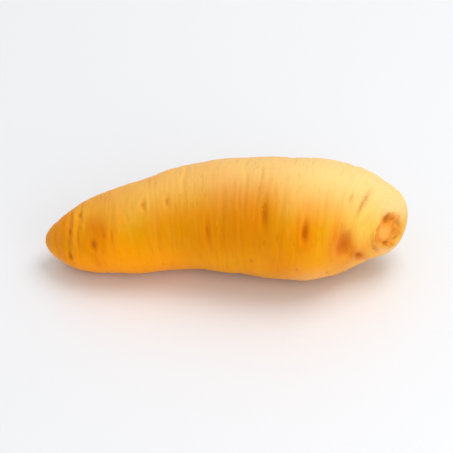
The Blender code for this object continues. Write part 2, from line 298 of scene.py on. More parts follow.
def bare_skin(skin, around):
    """A grid of points on the skin without its relief, and which way is round the root at each."""
    rows, knots = skin_knots()
    # Sections mirrored beyond each tip, with the radius below zero, close the skin squarely there
    flip = np.array([1, 1, 1, -1, 1, 1])
    rows = np.concatenate([rows[2:0:-1] * flip, rows, rows[-2:-4:-1] * flip])
    knots = np.concatenate([-knots[2:0:-1], knots, 2 * knots[-1] - knots[-2:-4:-1]])
    x, y, z, radius, swing, lift = natural_spline(knots, rows, skin).T
    swing = np.radians(swing)
    lift = np.radians(lift)
    front = np.stack([-np.sin(swing), -np.cos(swing), 0 * swing], 1)[:, None]
    up = np.stack([-np.sin(lift) * np.cos(swing), np.sin(lift) * np.sin(swing), np.cos(lift)], 1)[:, None]
    turn = around[None, :, None]
    out = np.cos(turn) * front + np.sin(turn) * up
    sideways = np.cos(turn) * up - np.sin(turn) * front
    return np.stack([x, y, z], 1)[:, None] + radius[:, None, None] * out, sideways


def facing_skin(skin, around):
    """A grid of points on the skin without its relief, and the way straight out of it at each."""
    points, sideways = bare_skin(skin, around)
    along = bare_skin(skin + STEP_MM, around)[0] - bare_skin(skin - STEP_MM, around)[0]
    normal = np.cross(along, sideways)
    return points, normal / np.linalg.norm(normal, axis=2)[..., None]


def swellings(skin, around, length):
    """Slow swellings, which die away towards both tips."""
    fade = np.clip(np.minimum(skin, length - skin) / SWELLING_FADE_MM, 0, 1)
    total = np.zeros_like(skin)
    for swelling in SWELLINGS:
        wave = 2 * math.pi * skin / swelling.wave + math.radians(swelling.start)
        turn = swelling.turns * turn_from(around, swelling.facing)
        total += swelling.height * np.cos(wave) * np.cos(turn)
    return total * smooth(fade)


def creases(skin, around, rows):
    """Ring creases with a soft shoulder on each side, fading out towards their ends."""
    total = np.zeros_like(skin)
    for crease in rows:
        turn = turn_from(around, crease.middle)
        fade = np.exp(-((turn / math.radians(crease.reach)) ** 4))
        wander = CREASE_WANDER_MM * np.sin(CREASE_WANDERS * turn)
        off = (skin - (crease.skin + crease.lean * np.sin(turn) + wander)) / crease.width
        shoulders = bump(off - SHOULDER_AT, SHOULDER_WIDTH) + bump(off + SHOULDER_AT, SHOULDER_WIDTH)
        total += crease.depth * fade * (SHOULDER_SHARE * shoulders - bump(off, 1.0))
    return total


def pits(skin, around, girth, rows):
    """Slits, dimples and dents, each with a faint lip."""
    total = np.zeros_like(skin)
    for pit in rows:
        off = np.hypot((skin - pit.skin) / pit.width, turn_from(around, pit.angle) * girth / pit.length)
        total += pit.depth * (PIT_LIP_SHARE * bump(off - PIT_LIP_AT, PIT_LIP_WIDTH) - bump(off, 1.0))
    return total


def off_neck(inward, around):
    """How far a place is from the line of the neck, towards the tail."""
    swerve = NECK_SWERVE_MM * bump_round(around, NECK_SWERVE_AT, NECK_SWERVE_REACH)
    lean = NECK_LEAN_MM * np.cos(turn_from(around, NECK_LEAN_AT))
    return inward - NECK_MM - swerve - lean


def neck(inward, around):
    """The folds round the neck, and the lip between them and the scar."""
    off = off_neck(inward, around)
    front = (1 + np.cos(turn_from(around, NECK_LIP_HIGHEST))) / 2
    strength = NECK_LIP_BEHIND + (1 - NECK_LIP_BEHIND) * front**NECK_LIP_FALL
    total = NECK_LIP_MM * strength * bump(off + NECK_LIP_INSIDE_MM, NECK_LIP_WIDTH_MM)
    for fold in NECK_FOLDS:
        total -= fold.depth * bump_round(around, fold.middle, fold.reach) * bump(off, fold.width)
    return total


def unevenness(around, waves):
    """A share near 1, which the waves raise and lower round the root."""
    return 1 + sum(wave.share * np.cos(wave.turns * turn_from(around, wave.peak)) for wave in waves)


def scar_rim_at(around):
    """How far the scar's rim is from its middle."""
    return SCAR_RIM_MM * unevenness(around, SCAR_RIM_WAVES)


def scar_holes(inward, around, rows):
    """How deep the holes in the rows are at each place."""
    total = np.zeros_like(inward)
    for hole in rows:
        angle = math.radians(hole.angle)
        forward = inward * np.cos(around) - hole.out * math.cos(angle)
        above = inward * np.sin(around) - hole.out * math.sin(angle)
        total += hole.depth * bump(np.hypot(forward / hole.wide, above / hole.tall), 1.0)
    return total


def crown_scar(inward, around):
    """The torn face of the crown."""
    rim_at = scar_rim_at(around)
    rim_height = SCAR_RIM_HEIGHT_MM * unevenness(around, SCAR_HEIGHT_WAVES)
    total = rim_height * bump(inward - rim_at, SCAR_RIM_WIDTH_MM)
    total -= SCAR_MOAT_DEPTH_MM * bump(inward - rim_at * SCAR_MOAT_SHARE, SCAR_MOAT_WIDTH_MM)
    total -= SCAR_PLUG_DEPTH_MM * bump(inward, SCAR_RIM_MM * SCAR_PLUG_SHARE)
    return total - scar_holes(inward, around, SCAR_HOLES)


def set_down(points):
    """The points moved over the solid's box, with the lowest ones pressed level at z = 0."""
    low, high = (np.array(corner) / MM for corner in cad_box)
    middle = (points.min((0, 1)) + points.max((0, 1))) / 2
    points = points + (low + high) / 2 - middle
    points[..., 2] += low[2] - points[..., 2].min() - BELLY_FLAT_MM
    points[..., 2] = np.maximum(points[..., 2], low[2])
    return points


# Fine relief. Noise is read in the straightened root, where x runs along the skin and y and z round it, and
# on the scar laid flat
NOISE_CELLS = 48
CORNERS = [(i, j, k) for i in (0, 1) for j in (0, 1) for k in (0, 1)]

# Layers of noise: the size of a cell along the root and round it, the height and the seed
Layer = namedtuple("Layer", "along around height seed")

# Wrinkles across the root, and thin folds where a layer of noise passes through zero
WRINKLES = (
    Layer(3.4, 10.0, 0.045, 11),
    Layer(1.5, 6.5, 0.030, 12),
    Layer(0.8, 4.5, 0.016, 13),
)
FOLDS = (
    Layer(2.8, 12.0, 0.050, 21),
    Layer(1.7, 8.0, 0.034, 22),
)
FOLD_SHARPNESS = 5

# How strong both are all over, give or take the patches, and how much stronger by the tail and the neck
WRINKLED_SHARE = 0.75
WRINKLED_PATCHES = (Layer(20.0, 20.0, 0.60, 51),)
TAIL_WRINKLED_SHARE = 0.9
TAIL_WRINKLED_MM = 30.0
NECK_WRINKLED_SHARE = 0.3
NECK_WRINKLED_MM = 17.0
NECK_WRINKLED_WIDTH_MM = 8.0

# Soft lumps, the same all over
LUMPS = (
    Layer(9.0, 9.0, 0.090, 31),
    Layer(4.2, 4.2, 0.040, 32),
    Layer(1.1, 1.1, 0.012, 33),
)

# Marks strewn at random: their kind, how many, how far from the tail's tip they begin, and the least and
# greatest of each measure after the angle. They end the spared distance from the scar's middle
Strewn = namedtuple("Strewn", "kind count begin spans")
FULL_TURN = (0.0, 360.0)
PITS_BEGIN_MM = 5.0
SPARED_INWARD_MM = 11.0
FINE_CREASES = Strewn(Crease, 64, 4.0, ((12.0, 55.0), (0.05, 0.15), (0.35, 0.65), (-1.2, 1.2)))
SLITS = Strewn(Pit, 170, PITS_BEGIN_MM, ((0.7, 2.6), (0.32, 0.6), (0.06, 0.22)))
DENTS = Strewn(Pit, 46, PITS_BEGIN_MM, ((2.0, 6.0), (1.5, 4.0), (0.05, 0.16)))
DOTS = 90
DOT_SIZES = (0.35, 0.8)
DOT_DEPTH_SHARE = 0.22
STREWN_SEED = 7

# Patches of colour: where each is, how far it reaches round the root and along it, and how strong it is
Patch = namedtuple("Patch", "skin angle around along strength")

# The slits and dots are stained over this share of their size, most of them faintly: how strong the stains
# get, and the power that keeps strong ones rare
STAINED_SHARE = 0.8
Staining = namedtuple("Staining", "strongest rarity")
SLIT_STAINING = Staining(0.45, 3)
DOT_STAINING = Staining(0.4, 2)

# The torn flesh inside the scar, and its ragged edge
SCAR_TORN = (
    Layer(2.4, 2.4, 0.22, 41),
    Layer(1.0, 1.0, 0.12, 42),
    Layer(0.5, 0.5, 0.05, 47),
)
SCAR_RAGGED = (
    Layer(3.2, 3.2, 1.1, 45),
    Layer(1.3, 1.3, 0.6, 46),
)
SCAR_EDGE_SOFT_MM = 0.5

# The small round scar at the tail's tip: an uneven rim round a hollow
TAIL_SCAR_MM = 1.5
TAIL_SCAR_RIM_HEIGHT_MM = 0.22
TAIL_SCAR_RIM_WIDTH_MM = 0.5
TAIL_SCAR_WAVES = (Wave(3, 0.3, 30.0),)
TAIL_SCAR_DEPTH_MM = 0.25
TAIL_SCAR_WIDTH_MM = 0.9


def noise(place, cell, seed):
    """Smooth noise from -1 to 1 at each place, with cells of the given size along x, y and z."""
    table = np.random.default_rng(seed).uniform(-1, 1, (NOISE_CELLS,) * 3)
    scaled = place / np.array(cell)
    base = np.floor(scaled).astype(int)
    part = smooth(scaled - base)
    total = np.zeros(place.shape[:-1])
    for corner in CORNERS:
        index = (base + corner) % NOISE_CELLS
        share = np.prod(np.where(corner, part, 1 - part), axis=-1)
        total += share * table[index[..., 0], index[..., 1], index[..., 2]]
    return total


def layer_noise(place, layer):
    return noise(place, (layer.along, layer.around, layer.around), layer.seed)


def layered(place, layers):
    """The layers of noise at each place, each as high as it says, added up."""
    return sum(layer.height * layer_noise(place, layer) for layer in layers)


def wrinkles(straight, skin, inward):
    """Wrinkles, folds and lumps over the whole skin."""
    stronger = 1 + TAIL_WRINKLED_SHARE * bump(skin, TAIL_WRINKLED_MM)
    stronger += NECK_WRINKLED_SHARE * bump(inward - NECK_WRINKLED_MM, NECK_WRINKLED_WIDTH_MM)
    total = layered(straight, WRINKLES)
    for layer in FOLDS:
        ridge = 1 - np.abs(layer_noise(straight, layer))
        total -= layer.height * ridge**FOLD_SHARPNESS
    total *= stronger * (WRINKLED_SHARE + layered(straight, WRINKLED_PATCHES))
    return total + layered(straight, LUMPS)


def strewn_rows(draw, strewn, last):
    """Marks of one kind at random places, up to the last one along the skin, and of random size."""
    spans = ((strewn.begin, last), FULL_TURN) + strewn.spans
    return [strewn.kind(*(draw.uniform(*span) for span in spans)) for _ in range(strewn.count)]


def strewn_dots(draw, last):
    """Small round pits at random places. The wider ones are deeper."""
    return [
        Pit(draw.uniform(PITS_BEGIN_MM, last), draw.uniform(*FULL_TURN), size, size, DOT_DEPTH_SHARE * size)
        for size in draw.uniform(*DOT_SIZES, DOTS)
    ]


def stains_in(draw, marks, staining):
    """A stain in each of the marks, of random strength."""
    strengths = draw.uniform(0.0, 1.0, len(marks)) ** staining.rarity * staining.strongest
    return [
        Patch(mark.skin, mark.angle, mark.length * STAINED_SHARE, mark.width * STAINED_SHARE, strength)
        for mark, strength in zip(marks, strengths)
    ]


def strewn_marks(length):
    """Fine ring creases, all kinds of small pits, and the stains in some of those, at random places."""
    draw = np.random.default_rng(STREWN_SEED)
    last = length - SPARED_INWARD_MM
    rings = strewn_rows(draw, FINE_CREASES, last)
    slits = strewn_rows(draw, SLITS, last)
    dots = strewn_dots(draw, last)
    dents = strewn_rows(draw, DENTS, last)
    stains = stains_in(draw, slits, SLIT_STAINING) + stains_in(draw, dots, DOT_STAINING)
    return rings, slits + dots + dents, stains


def torn_flesh(inward, around):
    """Rough flesh inside the scar's ragged rim, and how far inside it each place is, from 0 to 1."""
    flat = np.stack([inward * np.cos(around), inward * np.sin(around), 0 * inward], -1)
    beyond = inward - scar_rim_at(around) + layered(flat, SCAR_RAGGED)
    inside = 1 / (1 + np.exp(beyond / SCAR_EDGE_SOFT_MM))
    return layered(flat, SCAR_TORN) * inside, inside


def tail_scar(skin, around):
    """The small round scar at the tail's tip, where the thin end of the root broke off."""
    rim = TAIL_SCAR_RIM_HEIGHT_MM * bump(skin - TAIL_SCAR_MM, TAIL_SCAR_RIM_WIDTH_MM)
    return rim * unevenness(around, TAIL_SCAR_WAVES) - TAIL_SCAR_DEPTH_MM * bump(skin, TAIL_SCAR_WIDTH_MM)


# Colours on the skin

# Brown marks, most of them in slits and dimples. Two thin lines in ring creases near the tail are painted
# shade
STAINS_AND_CREASE_SHADE = (
    Patch(15.2, 5.0, 1.8, 1.1, 0.50),
    # A thin line of painted shade in a ring crease
    Patch(15.0, 30.0, 5.0, 0.4, 0.15),
    Patch(18.0, 56.0, 1.0, 0.6, 0.65),
    # A thin line of painted shade in a ring crease
    Patch(17.6, 40.0, 5.0, 0.4, 0.20),
    Patch(22.0, 81.0, 0.9, 0.6, 0.50),
    Patch(26.0, 23.0, 1.5, 1.1, 0.55),
    Patch(26.2, 8.0, 2.6, 0.5, 0.30),
    Patch(45.6, 63.0, 1.0, 0.7, 0.40),
    Patch(55.0, 60.0, 1.6, 0.6, 0.40),
    Patch(51.0, 27.0, 2.2, 0.5, 0.20),
    Patch(46.0, 12.0, 1.2, 0.8, 0.20),
    Patch(69.4, 21.0, 4.2, 1.0, 0.36),
    Patch(91.6, 39.0, 4.2, 1.4, 0.38),
    Patch(90.8, 48.0, 3.0, 1.0, 0.25),
    Patch(91.2, 34.0, 5.6, 0.8, 0.16),
    Patch(88.0, 92.0, 0.4, 3.0, 0.22),
    Patch(91.5, 86.0, 0.4, 2.6, 0.22),
    Patch(105.8, 22.0, 2.6, 1.0, 0.50),
    Patch(105.6, 33.0, 4.0, 0.6, 0.22),
    Patch(86.4, 350.0, 0.9, 0.7, 0.50),
    Patch(103.8, 342.0, 1.4, 0.7, 0.45),
    Patch(116.4, 331.0, 1.2, 0.8, 0.45),
    Patch(118.0, 23.0, 3.4, 0.6, 0.25),
    Patch(121.7, 29.0, 3.6, 0.7, 0.30),
    Patch(123.7, 63.0, 2.6, 1.3, 0.30),
    Patch(126.6, 66.0, 1.0, 0.6, 0.25),
    Patch(125.8, 5.0, 3.4, 2.4, 0.30),
    Patch(127.8, 358.0, 4.0, 1.7, 0.36),
    Patch(124.2, 22.0, 3.4, 0.8, 0.16),
    Patch(130.0, 347.0, 2.4, 1.3, 0.30),
    Patch(133.0, 331.0, 2.2, 1.3, 0.50),
    Patch(143.2, 264.0, 2.2, 0.9, 0.35),
    Patch(142.6, 352.0, 3.2, 1.0, 0.26),
    Patch(141.0, 328.0, 3.8, 1.7, 0.42),
    Patch(5.5, 60.0, 5.0, 3.0, 0.30),
    Patch(47.0, 150.0, 2.4, 0.5, 0.55),
    Patch(70.0, 172.0, 3.0, 0.5, 0.60),
    Patch(88.0, 222.0, 2.0, 0.6, 0.75),
    Patch(93.0, 140.0, 2.8, 0.5, 0.50),
    Patch(108.0, 196.0, 2.2, 0.7, 0.85),
    Patch(112.0, 268.0, 1.6, 0.6, 0.50),
    Patch(120.0, 128.0, 2.2, 0.5, 0.50),
    Patch(128.0, 222.0, 1.8, 0.8, 0.80),
)

# Deeper orange, most of it round the slits and dimples. Two broad patches are painted shade: one over the
# broad dent near the tail and one on the middle of the front
BLUSHES_AND_SHADE = (
    # Painted shade over the broad dent near the tail
    Patch(28.0, 38.0, 9.0, 6.0, 0.60),
    Patch(26.5, 353.0, 3.4, 1.8, 0.50),
    Patch(12.0, 20.0, 9.0, 4.0, 0.25),
    Patch(13.0, 80.0, 12.0, 9.0, 0.40),
    Patch(69.5, 18.0, 6.0, 3.0, 0.30),
    Patch(66.0, 22.0, 10.0, 12.0, 0.20),
    # Painted shade on the middle of the front
    Patch(84.0, 30.0, 13.0, 13.0, 0.55),
    Patch(91.5, 38.0, 8.0, 3.5, 0.15),
    Patch(99.0, 344.0, 7.0, 7.0, 0.40),
    Patch(105.8, 20.0, 7.5, 3.0, 0.65),
    Patch(117.3, 15.0, 6.5, 2.6, 0.55),
    Patch(119.0, 22.0, 8.0, 2.2, 0.55),
    Patch(124.6, 7.0, 5.8, 5.2, 1.0),
    Patch(121.0, 9.0, 5.0, 2.4, 0.80),
    Patch(130.0, 9.0, 5.0, 3.0, 0.25),
    Patch(123.2, 19.0, 5.0, 2.0, 0.62),
    Patch(130.0, 348.0, 4.0, 3.0, 0.80),
    Patch(133.0, 332.0, 3.6, 2.6, 0.70),
    Patch(124.0, 335.0, 6.0, 5.0, 0.35),
    Patch(135.0, 338.0, 6.5, 4.0, 0.32),
    Patch(141.4, 330.0, 4.5, 2.0, 0.40),
    Patch(50.0, 200.0, 11.0, 8.0, 0.40),
    Patch(75.0, 262.0, 12.0, 12.0, 0.45),
    Patch(108.0, 196.0, 7.0, 4.0, 0.60),
    Patch(96.0, 138.0, 9.0, 7.0, 0.35),
    Patch(127.0, 222.0, 7.0, 5.0, 0.60),
)

# Painted reflection of the floor: paler pinkish skin under the crown and along the underside's edge
FLOOR_REFLECTIONS = (
    Patch(4.0, 325.0, 4.0, 3.5, 0.45),
    Patch(12.0, 315.0, 3.6, 7.0, 0.50),
    Patch(32.0, 306.0, 3.5, 12.0, 0.40),
    Patch(58.0, 308.0, 4.0, 18.0, 0.22),
    Patch(88.0, 308.0, 5.0, 14.0, 0.30),
    Patch(110.0, 315.0, 8.5, 11.0, 0.60),
    Patch(126.0, 311.0, 6.0, 6.0, 0.45),
    Patch(141.4, 284.0, 7.5, 3.2, 0.80),
    Patch(133.5, 312.0, 7.0, 3.0, 0.45),
    Patch(136.0, 250.0, 12.0, 5.0, 0.45),
)

# Painted shade: duller, greener gold on the middle of the front
FRONT_SHADES = (
    Patch(52.0, 26.0, 9.0, 8.0, 0.35),
    Patch(66.0, 28.0, 13.0, 11.0, 0.75),
    Patch(82.0, 32.0, 12.0, 9.0, 0.60),
    Patch(91.6, 37.0, 10.0, 5.0, 0.85),
    Patch(94.0, 14.0, 9.0, 8.0, 0.50),
)

# A faint brown line in the fold on top of the neck: how dark, where and how far it is, and its half width
NECK_LINE_STAIN = 0.42
NECK_LINE_AT = 62.0
NECK_LINE_REACH = 26.0
NECK_LINE_WIDTH_MM = 2.3

# Colours that come and go slowly, both of them painted light: painted bounce light from the floor low in
# front, and a painted highlight on top. Each has the direction it faces, how far round from it the colour
# starts and how far it is full, its least share on the other side, and its share at places along the skin
Tint = namedtuple("Tint", "facing start full least places shares")
# Painted bounce light from the floor, low in front
BOUNCE_PLACES = (6.0, 16.0, 32.0, 50.0, 70.0, 95.0, 112.0, 124.0)
BOUNCE_SHARES = (0.7, 1.0, 1.0, 0.9, 0.5, 0.3, 0.6, 0.4)
# Painted highlight on top, stronger towards the crown
HIGHLIGHT_PLACES = (15.0, 40.0, 64.0, 92.0, 113.0, 128.0)
HIGHLIGHT_SHARES = (0.0, 0.30, 0.52, 0.72, 0.90, 1.0)
PAINTED_BOUNCE_LOW_IN_FRONT = Tint(325.0, 76.0, 20.0, 0.0, BOUNCE_PLACES, BOUNCE_SHARES)
PAINTED_HIGHLIGHT_ON_TOP = Tint(112.0, 88.0, 22.0, 0.0, HIGHLIGHT_PLACES, HIGHLIGHT_SHARES)

# Paler skin round the crown, full on its upper side: a painted highlight there, and below it a weaker painted
# reflection of the floor. Its places are inward ones
PALE_PLACES = (0.0, 20.0, 26.0, 40.0)
PALE_SHARES = (1.0, 1.0, 0.7, 0.0)
PALE_CROWN_AND_HIGHLIGHT = Tint(80.0, 94.0, 58.0, 0.45, PALE_PLACES, PALE_SHARES)

# Bands in the scar that are brown as its holes are, but not deep, and how deep a fully brown hole is
SCAR_BANDS = (
    Hole(180.0, 2.9, 1.3, 4.2, 0.30),
    Hole(262.0, 7.6, 2.0, 1.3, 0.50),
    Hole(306.0, 8.0, 3.0, 1.2, 0.34),
    Hole(352.0, 8.4, 1.2, 3.0, 0.40),
)
SCAR_FULLY_BROWN_MM = 0.6

# The light heart of the scar: its half width, and how far forward of the scar's middle it is
SCAR_HEART_MM = 3.2
SCAR_HEART_FORWARD_MM = 2.0

# How deep a hollow is where its painted shade is well on, and how far from the tail's tip the skin is lighter
HOLLOW_MM = 0.8
TIP_MM = 9.0


def patches_at(skin, around, girth, rows):
    """How strong the patches in the rows are at each place, from 0 to 1."""
    clear = np.ones_like(skin)
    for patch in rows:
        along = (skin - patch.skin) / patch.along
        across = turn_from(around, patch.angle) * girth / patch.around
        clear *= 1 - patch.strength * bump(np.hypot(along, across), 1.0)
    return 1 - clear


def neck_line(inward, around):
    """How strong the brown line on top of the neck is."""
    reached = bump_round(around, NECK_LINE_AT, NECK_LINE_REACH)
    return NECK_LINE_STAIN * bump(off_neck(inward, around), NECK_LINE_WIDTH_MM) * reached


def tint_at(place, around, tint):
    """How strong a tint is, from 0 to 1."""
    off = np.degrees(np.abs(turn_from(around, tint.facing)))
    facing = smooth(np.clip((off - tint.start) / (tint.full - tint.start), 0, 1))
    return (tint.least + (1 - tint.least) * facing) * np.interp(place, tint.places, tint.shares)


def scar_heart(inward, around):
    """How far each place is in the light heart of the scar, from 0 to 1."""
    forward = inward * np.cos(around) - SCAR_HEART_FORWARD_MM
    above = inward * np.sin(around)
    return bump(np.hypot(forward, above), SCAR_HEART_MM)


def colour_shares(skin, inward, around, girth, inside, strewn_stains):
    """How strong each colour is at each place, from 0 to 1."""
    outside = 1 - inside
    stains = patches_at(skin, around, girth, STAINS_AND_CREASE_SHADE + tuple(strewn_stains))
    holes = scar_holes(inward, around, SCAR_HOLES + SCAR_BANDS)
    return {
        "stain_and_shade": np.maximum(stains, neck_line(inward, around)) * outside,
        "torn": inside,
        "hole": np.clip(holes / SCAR_FULLY_BROWN_MM, 0, 1),
        "heart": scar_heart(inward, around),
        "pale": tint_at(inward, around, PALE_CROWN_AND_HIGHLIGHT),
        "painted_bounce": tint_at(skin, around, PAINTED_BOUNCE_LOW_IN_FRONT),
        "painted_highlight": tint_at(skin, around, PAINTED_HIGHLIGHT_ON_TOP),
        "blush_and_shade": patches_at(skin, around, girth, BLUSHES_AND_SHADE) * outside,
        "painted_reflection": patches_at(skin, around, girth, FLOOR_REFLECTIONS),
        "painted_front_shade": patches_at(skin, around, girth, FRONT_SHADES),
        "tip": bump(skin, TIP_MM),
    }


def build_skin():
    """The skin as rings of points in millimetres in the frame, and what each point carries."""
    rows, knots = skin_knots()
    length = knots[-1]
    places = ring_places(length, RINGS)
    angles = np.arange(SIDES) * 2 * math.pi / SIDES
    girth = natural_spline(knots, rows[:, 3:4], places)
    skin, around = np.meshgrid(places, angles, indexing="ij")
    inward = length - skin
    straight = np.stack([skin, girth * np.cos(around), girth * np.sin(around)], -1)
    rings, marks, strewn_stains = strewn_marks(length)

    points, normal = facing_skin(places, angles)
    form = creases(skin, around, CREASES) + pits(skin, around, girth, PITS) + neck(inward, around)
    scar = crown_scar(inward, around)
    points += (swellings(skin, around, length) + form + scar)[..., None] * normal
    points = set_down(points)

    torn, inside = torn_flesh(inward, around)
    fine = wrinkles(straight, skin, inward) + creases(skin, around, rings)
    fine += pits(skin, around, girth, marks) + tail_scar(skin, around)
    points += (torn + fine * (1 - inside))[..., None] * normal
    points[..., 2] = np.maximum(points[..., 2], 0.0)
    points[[0, -1]] = points[[0, -1]].mean(1)[:, None]

    carried = colour_shares(skin, inward, around, girth, inside, strewn_stains)
    carried["straight"] = straight
    # How hollow each place is, which the material darkens as painted shade
    carried["hollow"] = 1 - np.exp(np.minimum(form + fine, 0) / HOLLOW_MM)
    return points, carried


def skin_faces():
    """Faces that join the rings, with a fan at each tip."""
    tail = RINGS * SIDES
    last = (RINGS - 1) * SIDES
    faces = []
    for side in range(SIDES):
        after = (side + 1) % SIDES
        faces.append((tail, side, after))
        for here in range(0, last, SIDES):
            there = here + SIDES
            faces.append((here + side, there + side, there + after, here + after))
        faces.append((last + side, tail + 1, last + after))
    return faces


def flattened(grid):
    """Rings of values as one row for each vertex of the mesh: the rings, then the two tips."""
    return np.concatenate([grid[1:-1].reshape((-1,) + grid.shape[2:]), grid[[0, -1], 0]])


def build_root():
    """The root's skin as one closed piece."""
    points, carried = build_skin()
    mesh = bpy.data.meshes.new("root_skin")
    mesh.from_pydata((flattened(points) * MM).tolist(), [], skin_faces())
    mesh.shade_smooth()
    for name, grid in carried.items():
        kind, key = ("FLOAT_VECTOR", "vector") if grid.ndim == 3 else ("FLOAT", "value")
        attribute = mesh.attributes.new(name, kind, "POINT")
        attribute.data.foreach_set(key, flattened(grid).astype(np.float32).ravel())
    root = bpy.data.objects.new("root_skin", mesh)
    bpy.context.scene.collection.objects.link(root)
    return root


# Grains of the material's noise: the size of a cell along the root and round it, and how it is broken up
Grain = namedtuple("Grain", "along around detail roughness distortion")
GRAINS = {
    "clouds": Grain(13.0, 16.0, 2.0, 0.5, 0.0),
    "bands": Grain(5.5, 13.0, 3.0, 0.6, 0.4),
    "streaks": Grain(1.0, 6.0, 4.0, 0.6, 0.4),
    "speckle": Grain(0.5, 0.9, 3.0, 0.6, 0.0),
    "fibres": Grain(1.6, 1.6, 4.0, 0.6, 0.0),
}

# A value between the start and the end of a range becomes one between its first and its last, smoothly
Range = namedtuple("Range", "start end first last")

# Colours of the skin
ORANGE = (0.80, 0.287, 0.002, 1.0)
GOLD = (0.76, 0.340, 0.002, 1.0)
AMBER = (0.70, 0.265, 0.001, 1.0)
# Orange of the painted bounce light from the floor
BOUNCE_ORANGE = (1.0, 0.345, 0.002, 1.0)
CREAM = (0.90, 0.540, 0.085, 1.0)
# Colour of the painted highlight on top
HIGHLIGHT_PEACH = (0.86, 0.600, 0.235, 1.0)
# Colour of the painted reflection of the floor
REFLECTION_PINK = (0.94, 0.56, 0.230, 1.0)
# Gold of the painted shade on the front
SHADE_GOLD = (0.64, 0.264, 0.001, 1.0)
# Deeper orange of the blushes, and of their patches of painted shade
BLUSH_AND_SHADE_ORANGE = (0.74, 0.172, 0.001, 1.0)
STREAK = (0.52, 0.180, 0.002, 1.0)
TIP_GOLD = (1.0, 0.44, 0.030, 1.0)
# Orange of the painted shade in the hollows
HOLLOW_SHADE = (0.60, 0.130, 0.001, 1.0)
BROWN = (0.40, 0.105, 0.002, 1.0)

# Coats of colour, from the lowest: what each follows, what share it has there, and its colour
Coat = namedtuple("Coat", "follows share colour")
GROUND_COATS = (
    Coat("clouds", Range(0.34, 0.66, 0.0, 1.0), GOLD),
    Coat("bands", Range(0.42, 0.72, 0.0, 0.12), CREAM),
    Coat("bands", Range(0.52, 0.28, 0.0, 0.40), AMBER),
)
STREAK_COATS = (
    Coat("streaks", Range(0.54, 0.74, 0.0, 0.26), STREAK),
    Coat("streaks", Range(0.46, 0.30, 0.0, 0.08), CREAM),
    Coat("speckle", Range(0.60, 0.75, 0.0, 0.22), STREAK),
)
MARK_COATS = (
    # The hollows darken by their depth: painted shade
    Coat("hollow", Range(0.08, 0.95, 0.0, 0.70), HOLLOW_SHADE),
    Coat("stain_and_shade", Range(0.04, 0.85, 0.0, 0.95), BROWN),
)

# Colours that the points carry shares of, from the lowest: painted bounce light, the pale crown with its
# painted highlight and reflection, the painted highlight on top, painted reflection of the floor and painted
# shade on the front. They come after the ground, and the blush with its painted shade after them. The tip's
# gold comes after the streaks
CARRIED_COLOURS = {"painted_bounce": BOUNCE_ORANGE, "pale": CREAM, "painted_highlight": HIGHLIGHT_PEACH, "painted_reflection": REFLECTION_PINK, "painted_front_shade": SHADE_GOLD}
TIP_SHARE = 0.55

# How noise breaks up the blush with its painted shade, the stains with their painted crease shade, and the
# brown of the scar's holes
BLUSH_AND_SHADE_BROKEN = Range(0.25, 0.65, 0.7, 1.0)
STAIN_AND_SHADE_BROKEN = Range(0.30, 0.60, 0.55, 1.15)
HOLE_BROKEN = Range(0.25, 0.60, 0.6, 1.2)

# Colours of the scar, and the shares of its darker flesh, of its light heart and of the brown
SCAR_FLESH = (0.72, 0.24, 0.020, 1.0)
SCAR_LIGHT = (1.0, 0.42, 0.080, 1.0)
SCAR_BROWN = (0.52, 0.175, 0.010, 1.0)
FLESH_SHARE = Range(0.36, 0.64, 0.50, 0.90)
HEART_SHARE = Range(0.1, 0.9, 0.0, 1.0)
HOLE_SHARE = Range(0.10, 0.95, 0.0, 0.85)

# The skin's sheen, its grain, and how light goes through it
SOUND_ROUGHNESS = Range(0.35, 0.70, 0.40, 0.56)
WORN_ROUGHNESS = 0.78
SPECKLE_HEIGHT_MM = 0.10
STREAK_HEIGHT_MM = 0.16
GRAIN_STRENGTH = 0.5
SKIN_SHADER = {
    "Specular IOR Level": 0.12,
    "Specular Tint": (1.0, 0.60, 0.10, 1.0),
    "Subsurface Weight": 0.22,
    "Subsurface Radius": (1.0, 0.42, 0.10),
    "Subsurface Scale": 3.0 * MM,
}


